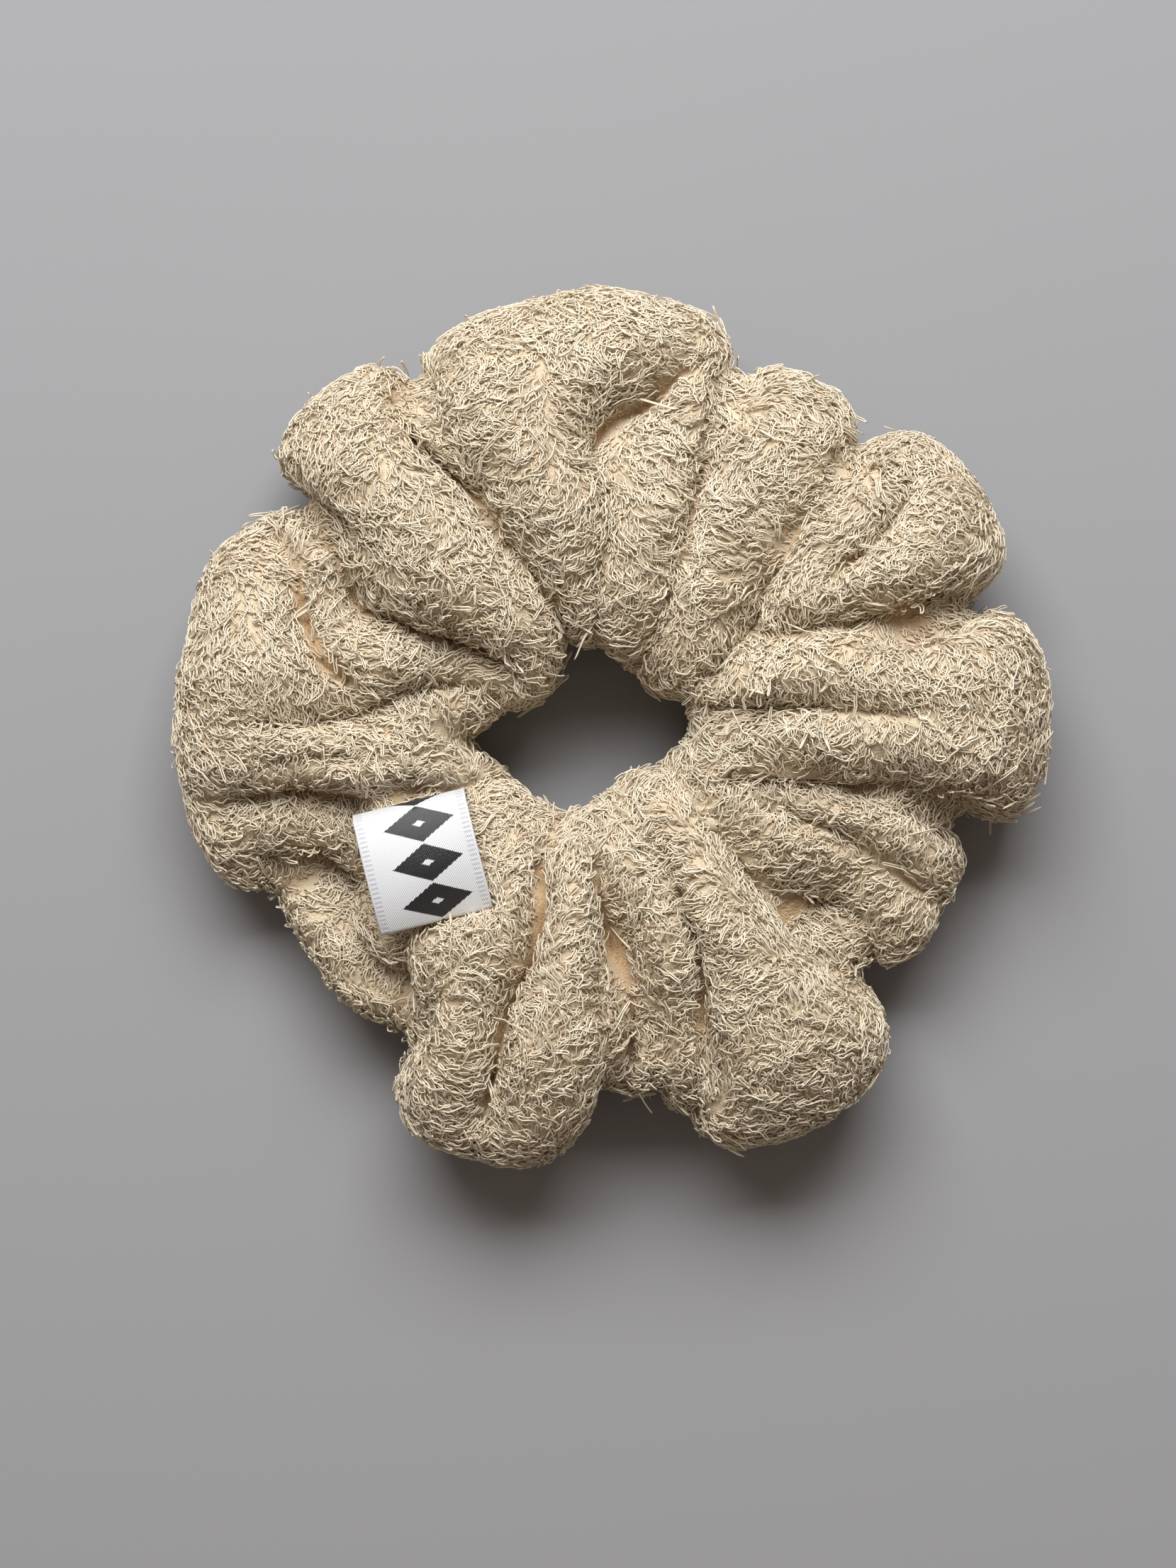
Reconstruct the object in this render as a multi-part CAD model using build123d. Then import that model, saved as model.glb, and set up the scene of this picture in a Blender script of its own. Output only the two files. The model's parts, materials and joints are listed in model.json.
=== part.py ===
from build123d import *

import os
from math import asin, atan2, cos, degrees, hypot, radians, sin

# A gathered terry-cloth scrunchie that lies flat: a sewn cloth ring, puffed into rounded folds, with a
# loose flat elastic band inside it and a folded ribbon label caught in its crosswise seam.
# Millimetres. The origin is on the surface that it lies on, under the middle of the ring; +Z is up.

# The cloth ring
CLOTH = 3.0             # thickness of the gathered cloth, pile included
CORE_RADIUS = 30.0      # from the axis to the middle of the cloth tube
CORE_WIDTH = 32.0       # width of the tube between two folds
CORE_HEIGHT = 18.0      # height of the tube between two folds
CORE_MID = 11.0         # height of the tube's middle above the surface
HOLE_BALL = 8.5         # radius of a fold where it turns down into the middle hole
FLATTENING = 0.8        # how far a fold is pressed flat where it lies on the surface
BELOW = (200.0, 200.0, 20.0)    # a block under the surface, wider than the ring, that trims the folds flat

# The rounded folds, anticlockwise: (angle, reach to the rim, radius at the rim, distance of the hole's edge)
FOLDS = [
    (0.0, 58.6, 14.0, 9.0),
    (36.0, 58.8, 13.5, 9.5),
    (60.0, 54.5, 11.5, 9.0),
    (84.0, 58.8, 12.5, 9.0),
    (106.0, 59.4, 12.5, 12.5),
    (130.5, 60.5, 11.5, 12.5),
    (156.0, 59.5, 12.5, 10.5),
    (181.0, 58.6, 12.5, 16.5),
    (214.0, 52.0, 10.5, 14.0),
    (252.0, 60.8, 14.0, 11.0),
    (295.0, 59.0, 14.5, 5.0),
    (332.0, 52.0, 11.8, 8.0),
]

# Seams inside the cloth ring
ALLOWANCE = 2.4         # two thicknesses of cloth pressed together beside a seam
LONG_SEAM_RADIUS = 19.5
LONG_SEAM_REACH = 21.5  # the raw edges end here
LONG_SEAM_STITCHES = 44
CROSS_SEAM_ANGLE = 198.7
CROSS_SEAM_WIDTH = 27.0
CROSS_SEAM_HEIGHT = 13.6
CROSS_SEAM_STITCHES = 30
COLLAR_INSET = 1.0      # the cross seam's raw edges start this far inside the cloth
CROSS_WINDOW = (12.0, 10.0)  # the gap in the cross seam's raw edges that the elastic passes through
THREAD = 0.5
THIN_STITCH = 0.4       # a long-seam stitch across the seam; it is a THREAD wide along it

# The elastic band
BAND_RADIUS = 30.0      # inner face
BAND_THICKNESS = 1.0
BAND_WIDTH = 7.0
LAP_ANGLE = 24.0        # the two ends of the band overlap over this angle
LAP_MIDDLE = 20.0       # where the overlap lies
JOIN_COLUMNS = 7
JOIN_ROWS = 2
JOIN_SHARE = 0.8        # of the overlap is stitched
STITCH_SHARE = 0.8      # length of a stitch, as a share of their spacing
LEG_SHARE = 0.2         # length of each of its legs, as a share of their spacing

# The ribbon label
LABEL_WIDTH = 15.0
LABEL_PLY = 0.3         # thickness of the ribbon
LABEL_GAP = 0.3         # between its two layers
LABEL_REACH = 15.3      # from the sewn edge to the fold
LABEL_RISE = 2.0        # how much it arches over the cloth below
LABEL_ROOT = (-27.2, -9.2, 22.0)
LABEL_HEADING = 284.0   # direction from the sewn edge to the fold
LABEL_TAIL = 7.0        # length of the sewn-in ends
HINGE_CLEARANCE = 0.5


def tapered_fold(angle, rim_reach, rim_radius, hole_reach, inset):
    """One rounded fold along a radius: a small ball at the hole, a large one at the rim, a cone between."""
    near = hole_reach + HOLE_BALL
    far = rim_reach - rim_radius
    rise = rim_radius - FLATTENING - CORE_MID
    length = hypot(far - near, rise)
    small = HOLE_BALL - inset
    large = rim_radius - inset
    lean = asin((large - small) / length)
    turn = degrees(lean)
    outline = [
        CenterArc((0, 0), small, 90 + turn, 90 - turn),
        Line((-small * sin(lean), small * cos(lean)), (length - large * sin(lean), large * cos(lean))),
        CenterArc((length, 0), large, 0, 90 + turn),
        Line((length + large, 0), (-small, 0)),
    ]
    fold = revolve(make_face(outline), Axis.X)
    slope = degrees(atan2(rise, far - near))
    return Rot(0, 0, angle) * Pos(near, 0, CORE_MID) * Rot(0, -slope, 0) * fold


def puffed_ring(inset):
    """The whole ring of folds, shrunk by inset on every side."""
    oval = SlotOverall(CORE_WIDTH - 2 * inset, CORE_HEIGHT - 2 * inset)
    ring = revolve(Plane.XZ * Pos(CORE_RADIUS, CORE_MID) * oval, Axis.Z)
    for angle, rim_reach, rim_radius, hole_reach in FOLDS:
        ring += tapered_fold(angle, rim_reach, rim_radius, hole_reach, inset)
    block = Box(*BELOW, align=(Align.CENTER, Align.CENTER, Align.MAX))
    return ring - Pos(0, 0, inset) * block


def cross_seam_plane():
    """The upright plane of the crosswise seam, centred on the tube, with its normal along the ring."""
    along = radians(CROSS_SEAM_ANGLE)
    middle = (CORE_RADIUS * cos(along), CORE_RADIUS * sin(along), CORE_MID)
    return Plane(origin=middle, x_dir=(cos(along), sin(along), 0), z_dir=(sin(along), -cos(along), 0))


def cross_seam_allowance():
    """The raw edges beside the crosswise seam: a collar round the inside of the tube."""
    wide, high = CORE_WIDTH - 2 * COLLAR_INSET, CORE_HEIGHT - 2 * COLLAR_INSET
    collar = Rectangle(wide, high) - Rectangle(*CROSS_WINDOW)
    return extrude(cross_seam_plane() * collar, ALLOWANCE / 2, both=True)


def cross_seam_thread():
    """A line of thread on each side of the crosswise seam, with the stitches that join them."""
    wide, high = CROSS_SEAM_WIDTH, CROSS_SEAM_HEIGHT
    line = SlotOverall(wide + THREAD, high + THREAD) - SlotOverall(wide - THREAD, high - THREAD)
    path = SlotOverall(wide, high).wire()
    plane = cross_seam_plane()
    thread = None
    for side in (-1, 1):
        face = plane.offset(side * (ALLOWANCE + THREAD) / 2) * line
        loop = extrude(face, THREAD / 2, both=True)
        thread = loop if thread is None else thread + loop
    for index in range(CROSS_SEAM_STITCHES):
        spot = path @ (index / CROSS_SEAM_STITCHES)
        stitch = plane * Pos(spot.X, spot.Y) * Rectangle(THREAD, THREAD)
        thread += extrude(stitch, ALLOWANCE / 2 + THREAD / 2, both=True)
    return thread


def long_seam_allowance():
    """The raw edges beside the long seam, pressed together round the hole's side of the tube."""
    return Pos(0, 0, CORE_MID) * Cylinder(LONG_SEAM_REACH, ALLOWANCE)


def long_seam_thread():
    """A line of thread above and below the seam allowance, with the stitches that join them through it."""
    thread = None
    for side in (-1, 1):
        height = CORE_MID + side * (ALLOWANCE + THREAD) / 2
        loop = Pos(0, 0, height) * (
            Cylinder(LONG_SEAM_RADIUS + THREAD / 2, THREAD) - Cylinder(LONG_SEAM_RADIUS - THREAD / 2, THREAD)
        )
        thread = loop if thread is None else thread + loop
    for index in range(LONG_SEAM_STITCHES):
        place = Rot(0, 0, 360 * index / LONG_SEAM_STITCHES) * Pos(LONG_SEAM_RADIUS, 0, CORE_MID)
        thread += place * Box(THIN_STITCH, THREAD, ALLOWANCE + THREAD)
    return thread


def ring_sector(inner, outer, height, start, size):
    """A piece of a flat-sided ring, standing on its edge round the Z axis at the tube's middle."""
    section = Plane.XZ * Pos((inner + outer) / 2, CORE_MID) * Rectangle(outer - inner, height)
    return Rot(0, 0, start) * revolve(section, Axis.Z, size)


def elastic_join():
    """The stitches through the overlap: each is a bar on both faces of the band and two legs through it."""
    inner = BAND_RADIUS - THREAD
    outer = BAND_RADIUS + 2 * BAND_THICKNESS + THREAD
    pitch = LAP_ANGLE * JOIN_SHARE / JOIN_COLUMNS
    length = pitch * STITCH_SHARE
    leg = pitch * LEG_SHARE
    stitches = []
    for row in range(JOIN_ROWS):
        height = BAND_WIDTH * ((row + 1) / (JOIN_ROWS + 1) - 0.5)
        for column in range(JOIN_COLUMNS):
            start = LAP_MIDDLE + (column - (JOIN_COLUMNS - 1) / 2) * pitch - length / 2
            outside = ring_sector(inner, outer, THREAD, start, length)
            inside = ring_sector(inner + THREAD, outer - THREAD, THREAD * 2, start + leg, length - 2 * leg)
            stitches.append(Pos(0, 0, height) * (outside - inside))
    return stitches


def elastic_band(stitches):
    """The flat band, closed into a ring by lapping one end over the other."""
    outer = BAND_RADIUS + BAND_THICKNESS
    band = Pos(0, 0, CORE_MID) * (Cylinder(outer, BAND_WIDTH) - Cylinder(BAND_RADIUS, BAND_WIDTH))
    band += ring_sector(outer, outer + BAND_THICKNESS, BAND_WIDTH, LAP_MIDDLE - LAP_ANGLE / 2, LAP_ANGLE)
    for stitch in stitches:
        band -= stitch
    return band


def label_plane():
    """The upright plane through the middle of the label: x from the sewn edge to the fold, y up."""
    heading = radians(LABEL_HEADING)
    return Plane(
        origin=LABEL_ROOT,
        x_dir=(cos(heading), sin(heading), 0),
        z_dir=(sin(heading), -cos(heading), 0),
    )


def arc_layer(centre, radius, start, size):
    """The section of one layer of ribbon that follows an arc."""
    arc = CenterArc(centre, radius, start, size)
    return trace(arc, LABEL_PLY)


def label_flap():
    """The free part of the label: two layers of ribbon arched over the cloth and folded at the free end."""
    bend = LABEL_REACH ** 2 / (8 * LABEL_RISE) + LABEL_RISE / 2
    centre = (LABEL_REACH / 2, LABEL_RISE - bend)
    half = degrees(asin(LABEL_REACH / 2 / bend))
    root_gap = degrees(HINGE_CLEARANCE / bend)
    size = 2 * half - root_gap
    spread = (LABEL_GAP + LABEL_PLY) / 2
    section = arc_layer(centre, bend + spread, 90 - half, size)
    section += arc_layer(centre, bend - spread, 90 - half, size)
    tip = (LABEL_REACH, 0)
    section += arc_layer(tip, spread, -90 - half, 180)
    return extrude(label_plane() * section, LABEL_WIDTH / 2, both=True)


def label_tails(thread):
    """The two ends of the ribbon that go down into the crosswise seam, pierced by its stitches."""
    spread = (LABEL_GAP + LABEL_PLY) / 2
    tails = []
    for side in (-1, 1):
        section = Pos(side * spread, -HINGE_CLEARANCE - LABEL_TAIL / 2) * Rectangle(LABEL_PLY, LABEL_TAIL)
        tails.append(extrude(label_plane() * section, LABEL_WIDTH / 2, both=True) - thread)
    return tails


def terry_cover(threads, tails):
    """The hollow cloth ring with its seam allowances, less the thread and ribbon that are sewn into it."""
    outside = puffed_ring(0)
    hollow = puffed_ring(CLOTH) - long_seam_allowance() - cross_seam_allowance()
    cover = outside - hollow
    for piece in threads + tails:
        cover -= piece
    return cover


def main():
    long_thread = long_seam_thread()
    cross_thread = cross_seam_thread()
    tails = label_tails(cross_thread)
    stitches = elastic_join()
    nodes = {
        "terry_cover": terry_cover([long_thread, cross_thread], tails),
        "long_seam_thread": long_thread,
        "closing_seam_thread": cross_thread,
        "elastic_band": elastic_band(stitches),
        "elastic_join_thread": Compound(children=stitches),
        "label_flap": label_flap(),
        "label_sewn_ends": Compound(children=tails),
    }
    os.makedirs("parts", exist_ok=True)
    for name, shape in nodes.items():
        export_step(shape, f"parts/{name}.step")


main()
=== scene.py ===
import json
import math

import bpy
import numpy as np
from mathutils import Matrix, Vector


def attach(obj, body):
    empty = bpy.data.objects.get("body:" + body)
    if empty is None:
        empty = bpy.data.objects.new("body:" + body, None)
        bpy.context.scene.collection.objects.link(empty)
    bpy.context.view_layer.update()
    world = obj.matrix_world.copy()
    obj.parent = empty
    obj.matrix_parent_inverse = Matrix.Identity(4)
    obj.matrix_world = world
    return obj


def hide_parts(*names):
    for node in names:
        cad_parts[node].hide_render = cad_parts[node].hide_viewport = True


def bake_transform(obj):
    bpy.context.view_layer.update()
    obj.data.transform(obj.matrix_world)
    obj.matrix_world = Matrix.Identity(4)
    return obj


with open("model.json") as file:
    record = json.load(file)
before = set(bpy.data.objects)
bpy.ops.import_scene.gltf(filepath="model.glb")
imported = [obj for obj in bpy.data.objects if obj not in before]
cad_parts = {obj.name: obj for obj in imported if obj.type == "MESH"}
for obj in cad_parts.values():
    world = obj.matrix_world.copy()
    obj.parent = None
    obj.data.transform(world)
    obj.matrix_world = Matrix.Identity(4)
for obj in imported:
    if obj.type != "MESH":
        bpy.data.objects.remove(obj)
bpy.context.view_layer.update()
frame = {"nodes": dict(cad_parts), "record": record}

# A terry-cloth scrunchie that lies flat, seen from straight above. Lengths below are in millimetres in the
# part's frame, and go into Blender in metres. Angles are in degrees, anticlockwise from +X seen from above.

MM = 0.001
PILE = 1.4              # how far the loops stand out of the cloth
SURFACE = 0.9           # height of the ground cloth where its pile is squashed on the table

# The rim: each lobe runs from its own notch to the next one.
# (angle of the notch, its radius, the lobe's reach)
LOBES = [
    (-14.5, 47.3, 58.9),
    (20.0, 48.6, 59.2),
    (49.5, 51.0, 55.0),
    (70.5, 51.0, 59.8),
    (120.0, 56.0, 61.2),
    (143.5, 53.2, 59.6),
    (203.0, 53.6, 52.4),
    (236.0, 50.6, 60.4),
    (266.5, 46.6, 50.0),
    (277.0, 47.6, 59.6),
    (316.5, 45.4, 51.2),
]

# The edge of the hole: (angle, radius)
HOLE = [
    (0, 9.6), (24, 9.8), (50, 7.2), (78, 8.0), (98, 10.2), (116, 12.4), (138, 9.8), (158, 10.4), (171, 14.0),
    (180, 18.0), (197, 14.4), (222, 12.6), (240, 11.2), (251, 8.6), (272, 5.6), (295, 5.0), (318, 6.6),
    (338, 7.8),
]

# How high the tube stands round the ring: (angle, height)
CREST = [
    (0, 27.5), (36, 28.0), (60, 25.5), (85, 27.0), (105, 28.0), (131, 27.5), (158, 25.5), (183, 25.5),
    (200, 22.5), (212, 24.0), (225, 25.0), (238, 26.5), (254, 28.0), (272, 25.0), (296, 28.0), (318, 23.5),
    (333, 24.5),
]

# The folds between the puffs, as seen from above, each from the rim towards the hole: (share of the depth
# that is a sharp crease, reach to each side, goes on down the rim, into the hole, [(x, y, depth), ...])
FOLDS = [
    (0.6, 3.4, True, True,
     [(-29, 50, 6), (-27, 39.5, 7), (-19.9, 31.6, 7.5), (-13.6, 22.9, 7), (-6.5, 14.2, 4)]),
    (0.7, 3.0, False, False,
     [(-50, 31, 4), (-46.5, 25, 5), (-43, 17.5, 5), (-40, 11, 4.5), (-35, 7, 3)]),
    (0.4, 4.4, True, False,
     [(-45.5, 33, 6), (-38.5, 26, 6), (-35.5, 16, 6), (-27.8, 12.7, 7), (-14, 7.4, 6)]),
    (0.5, 3.4, False, False,
     [(11.5, 49.5, 2), (5.5, 46, 8), (-0.5, 42.5, 8), (-2.5, 38, 4)]),
    (0.2, 3.6, False, True,
     [(-2.5, 38, 3), (-0.2, 27, 3.5), (-2.5, 17, 4)]),
    (0.5, 3.2, True, True,
     [(16.5, 50, 5), (14.5, 42, 3.5), (13.2, 37, 5), (12.1, 34, 6), (10.1, 27.6, 4), (4, 11, 2)]),
    (0.3, 4.0, True, False,
     [(33.5, 41.5, 4), (29, 33, 3), (23, 27, 4), (18.5, 20, 7), (15.5, 13, 7), (12, 7.5, 5)]),
    (0.5, 2.6, False, False,
     [(39.5, 34, 2), (35.5, 28.2, 5), (32.1, 24.5, 5), (27.5, 21, 2)]),
    (0.35, 4.2, True, False,
     [(47.5, 17.3, 6), (41, 14.6, 8), (34.5, 14.2, 8), (27, 14.2, 6), (17, 12.6, 4)]),
    (0.4, 3.4, False, True,
     [(38, 2.6, 1.5), (28, 3.4, 3.5), (18, 2.9, 5), (9, 4.6, 5)]),
    (0.4, 4.0, True, False,
     [(48, -12.2, 7), (37.7, -8.6, 8.5), (25.9, -7.1, 6), (15, -6, 3)]),
    (0.3, 4.6, True, False,
     [(34.5, -31.5, 7), (25.9, -24.4, 8.5), (18.8, -18.9, 5), (13, -13, 2)]),
    (0.8, 3.4, True, False,
     [(8.5, -48.8, 4), (10.3, -40, 5), (10.1, -33.1, 5.5), (8.9, -26, 5), (6.5, -15.7, 4)]),
    (0.8, 3.0, True, False,
     [(-0.4, -48, 5), (3.2, -40, 5.5), (2.2, -35.4, 6), (-0.2, -26.8, 5.5), (-3.4, -16.5, 4)]),
    (0.8, 3.0, False, True,
     [(-18, -52, 5), (-16.6, -41.5, 6.5), (-13.2, -32, 6.5), (-11, -23, 5.5), (-10, -14, 4)]),
    (0.5, 3.2, False, False,
     [(-55, -10, 3), (-44, -10.2, 6), (-34.1, -10, 7.5), (-20, -7, 7), (-14.5, -5, 3)]),
    (0.2, 5.0, True, False,
     [(-47, -22.5, 6), (-40, -20.5, 8), (-33, -18, 7), (-26, -14.5, 4)]),
    (0.3, 4.4, True, False,
     [(-32, -44, 6), (-29.5, -34, 7), (-28, -27, 5), (-20, -19, 2)]),
    (0.2, 4.2, False, True,
     [(-50, 1, 2), (-40, 2, 5), (-32, 1.5, 7), (-25, 3, 7), (-18.5, 3.5, 7)]),
    (0.4, 2.6, False, False,
     [(-46, -5, 2), (-32, -4, 3.5), (-20, -3.5, 2)]),
    (0.4, 2.8, False, False,
     [(45, -23, 2), (38, -19, 4), (27, -13, 4), (19, -10, 2)]),
]

RIM_FLOOR = -62         # how far round the tube a fold goes on under the rim
HOLE_FLOOR = 225        # and under the hole's edge
FOLD_SPAN = 2.5         # a fold's line is cut into spans of this length on top
FOLD_TURN = 12          # and of this angle down the rim and into the hole

# Places where the cloth has sunk: (x, y, radius, depth)
HOLLOWS = [
    (-44, -26, 10, 8.5),
    (-37, -36, 6, 4.5),
    (31, -21, 7, 3.5),
    (5, 38, 7, 3.0),
    (-36, 18, 6, 2.5),
    (-23, 1.5, 6.5, 5.5),
    (-30, 3, 5, 3.0),
    (-38, 4, 6, 3.0),
    (-34, -14, 5, 2.5),
]

# Folds underneath: (place as a share of the lobe's width, depth)
NOTCH_FOLD = (0.04, 4.5)
LOBE_FOLD = (0.52, 3.0)
WIDE_LOBE = 22          # a lobe wider than this has a fold of its own as well
UNDER_SHARP = 0.4
UNDER_REACH = 3.6
UNDER_START = RIM_FLOOR + 6
UNDER_END = -130
UNDER_TURN = 8.0
UNDER_SWAY = 2.5        # how far it swings to each side

FOLD_SPREAD = 2.3       # the puffs beside a fold round off over this many times its reach
FOLD_DEPTH = 1.45       # how much deeper the cloth goes than the depths above
FOLD_LIMIT = 12.5       # and no deeper than this
FOLD_WANDER = 0.9       # how far a fold strays from its line
WANDER_SIZE = 9.0
FULL_REACH = 32         # folds reach as far as stated at this radius, and less far towards the hole
REACH_LIMITS = (0.4, 1.15)
CREASE_WIDTH = 0.10     # half width of a crease of no depth
CREASE_GAIN = 0.21      # and how much wider it is for each millimetre of sharp depth
RIM_DEPTH = 0.4         # share of a fold's depth that is left at the rim, which has its own notches
RIM_FADE = (5, 28)      # it changes from this angle on, over this angle
HOLE_DEPTH = 0.25       # and the same at the hole
HOLE_FADE = (10, 60)
LUMPS = ((0.9, 12.0, 4), (0.4, 5.5, 5))     # uneven cloth: (height, size, seed)
BASE_LUMPS = (0.4, 8.0, 6)                  # and the same where it lies on the table
ELASTIC_ROOM = (27.8, 35.4, 5.7, 15.9)      # space round the elastic: inner radius, outer radius, bottom, top
ROOM_BLEND = 2.0        # it rises to its full height over this width

AROUND = 480            # points round the ring
ACROSS = 104            # and round the tube
GROUND_CLOTH = 0.8      # thickness of the woven ground that the loops stand on

# How full the rounded shapes are: 1 is an ellipse, less is boxier
SIDE_ROUND = 0.92
TOP_ROUND = 0.9
UNDER_ROUND = 0.72
LOBE_BOXY = 2.6         # for the lobes of the rim 2 is an ellipse, and more is boxier
WAIST = 0.45            # the tube is widest at this share of its height

# Large primes that scatter the cells of the noise
CELL_PRIMES = (73856093, 19349663, 83492791)
SEED_PRIME = 2654435761
MIX_PRIME = 1274126177
SEED_SHIFT = 17.31


# Shape of the ring

def smooth_ring(knots, angle):
    """A smooth closed curve through (angle, value) knots, by cubic Hermite spans."""
    at, value = np.array(knots, float).T
    at = np.concatenate([at[-2:] - 360, at, at[:3] + 360])
    value = np.concatenate([value[-2:], value, value[:3]])
    slope = np.gradient(value, at)
    angle = np.mod(angle, 360)
    span = np.clip(np.searchsorted(at, angle, side="right") - 1, 0, len(at) - 2)
    gap = at[span + 1] - at[span]
    t = (angle - at[span]) / gap
    return (
        value[span] * (2 * t ** 3 - 3 * t ** 2 + 1)
        + slope[span] * gap * (t ** 3 - 2 * t ** 2 + t)
        + value[span + 1] * (3 * t ** 2 - 2 * t ** 3)
        + slope[span + 1] * gap * (t ** 3 - t ** 2)
    )


def rim_radius(angle):
    """The outline of the cloth: a round lobe between each two notches."""
    start, notch, reach = np.array(LOBES, float).T
    angle = np.mod(angle - start[0], 360) + start[0]
    index = np.searchsorted(start, angle, side="right") - 1
    after = np.append(start[1:], start[0] + 360)
    t = (angle - start[index]) / (after[index] - start[index])
    base = notch[index] * (1 - t) + np.roll(notch, -1)[index] * t
    arch = (1 - np.abs(2 * t - 1) ** LOBE_BOXY) ** 0.5
    return base + (reach[index] - base) * arch - PILE


def tube_sides(angle):
    """How far from the axis the cloth is at the rim and at the hole."""
    return rim_radius(angle), smooth_ring(HOLE, angle) + PILE


def lattice_noise(points, size, seed):
    """Smooth noise from -1 to 1 at points, with bumps about size apart."""
    place = points / size + seed * SEED_SHIFT
    cell = np.floor(place).astype(np.int64)
    part = place - cell
    part = part * part * (3 - 2 * part)
    total = np.zeros(len(points))
    for corner in range(8):
        offset = np.array([corner & 1, corner >> 1 & 1, corner >> 2 & 1])
        x, y, z = ((cell + offset) * CELL_PRIMES).T
        mixed = x ^ y ^ z ^ seed * SEED_PRIME
        mixed = (mixed ^ mixed >> 13) * MIX_PRIME & 0x7FFFFFFF
        mixed = (mixed ^ mixed >> 16) & 0xFFFF
        weight = np.prod(np.where(offset == 1, part, 1 - part), axis=1)
        total += weight * (mixed / (0xFFFF / 2) - 1)
    return total


def tube_point(angle, turn):
    """The tube without its folds. turn is 0 at the rim, 90 on top, 180 at the hole and 270 underneath."""
    outer, inner = tube_sides(angle)
    crest = smooth_ring(CREST, angle) - PILE
    middle, half = (outer + inner) / 2, (outer - inner) / 2
    a = np.radians(turn)
    c, s = np.cos(a), np.sin(a)
    radius = middle + half * np.sign(c) * np.abs(c) ** SIDE_ROUND
    waist = WAIST * crest
    top = waist + (crest - waist) * np.abs(s) ** TOP_ROUND
    bottom = waist - (waist - SURFACE) * np.abs(s) ** UNDER_ROUND
    b = np.radians(angle)
    return np.stack([radius * np.cos(b), radius * np.sin(b), np.where(s > 0, top, bottom)], axis=-1)


def fold_line(points, down_rim, down_hole):
    """A fold's line on the tube and its depth, with its ends carried down the rim and into the hole."""
    knots = np.array(points, float)
    length = np.concatenate([[0], np.cumsum(np.hypot(*np.diff(knots[:, :2], axis=0).T))])
    along = np.linspace(0, length[-1], max(4, int(length[-1] / FOLD_SPAN)))
    x, y, depth = (np.interp(along, length, column) for column in knots.T)
    angle = np.degrees(np.arctan2(y, x))
    outer, inner = tube_sides(angle)
    c = np.clip((np.hypot(x, y) - (outer + inner) / 2) / ((outer - inner) / 2), -0.995, 0.995)
    turn = np.degrees(np.arccos(np.sign(c) * np.abs(c) ** (1 / SIDE_ROUND)))
    before = np.arange(turn[0] - FOLD_TURN, RIM_FLOOR, -FOLD_TURN)[::-1] if down_rim else []
    after = np.arange(turn[-1] + FOLD_TURN, HOLE_FLOOR, FOLD_TURN) if down_hole else []
    added = (len(before), len(after))
    turn = np.concatenate([before, turn, after])
    return tube_point(np.pad(angle, added, "edge"), turn), np.pad(depth, added, "edge")


def offset_from_line(points, line, depth):
    """To each point from the nearest spot on a line of short spans, and the fold's depth there."""
    best = np.full((len(points), 3), 1e6)
    deep = np.zeros(len(points))
    for index, (a, b) in enumerate(zip(line[:-1], line[1:])):
        span = b - a
        t = np.clip((points - a) @ span / (span @ span), 0, 1)
        offset = points - a - t[:, None] * span
        nearer = np.sum(offset ** 2, axis=1) < np.sum(best ** 2, axis=1)
        best[nearer] = offset[nearer]
        deep[nearer] = (depth[index] * (1 - t) + depth[index + 1] * t)[nearer]
    return best, deep


def underside_folds():
    """Where the cloth gathers below: a fold across the tube under each notch, and one in each wide lobe."""
    turn = np.arange(UNDER_START, UNDER_END, -UNDER_TURN)
    folds = []
    for index, (notch, _, _) in enumerate(LOBES):
        width = (LOBES[(index + 1) % len(LOBES)][0] - notch) % 360
        sway = UNDER_SWAY * np.sin(np.radians(turn * 3 + index * 70))
        for share, depth in ([NOTCH_FOLD, LOBE_FOLD] if width > WIDE_LOBE else [NOTCH_FOLD]):
            line = tube_point(notch + share * width + sway, turn)
            folds.append((UNDER_SHARP, UNDER_REACH, line, np.full(len(turn), depth)))
    return folds


def fold_fade(turn):
    """How much of its depth a fold keeps on its way round the tube."""
    from_rim = np.minimum(turn, 360 - turn)
    from_hole = np.abs(turn - 180)
    at_rim = RIM_DEPTH + (1 - RIM_DEPTH) * np.clip((from_rim - RIM_FADE[0]) / RIM_FADE[1], 0, 1)
    at_hole = HOLE_DEPTH + (1 - HOLE_DEPTH) * np.clip((from_hole - HOLE_FADE[0]) / HOLE_FADE[1], 0, 1)
    return at_rim * at_hole


def press_folds(flat, fade):
    """How deep the folds press each point in, and the way to it from its nearest fold, in crease widths."""
    lines = [(sharp, reach, *fold_line(points, rim, hole)) for sharp, reach, rim, hole, points in FOLDS]
    strayed = [lattice_noise(flat, WANDER_SIZE, seed) for seed in (1, 2, 3)]
    wander = flat + FOLD_WANDER * np.stack(strayed, axis=1)
    crowding = np.clip(np.hypot(flat[:, 0], flat[:, 1]) / FULL_REACH, *REACH_LIMITS)
    push = np.zeros(len(flat))
    near = np.full((len(flat), 3), 1e6)
    for sharp, reach, line, depth in lines + underside_folds():
        offset, deep = offset_from_line(wander, line, depth)
        distance = np.linalg.norm(offset, axis=1)
        short = 1 - np.clip(distance / (FOLD_SPREAD * reach * crowding), 0, 1)
        push += deep * (1 - np.sqrt(1 - short ** 2))
        offset /= (CREASE_WIDTH + CREASE_GAIN * sharp * deep * np.sqrt(fade))[:, None]
        nearer = np.linalg.norm(offset, axis=1) < np.linalg.norm(near, axis=1)
        near[nearer] = offset[nearer]
    return FOLD_LIMIT * np.tanh(FOLD_DEPTH * push / FOLD_LIMIT), near


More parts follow.
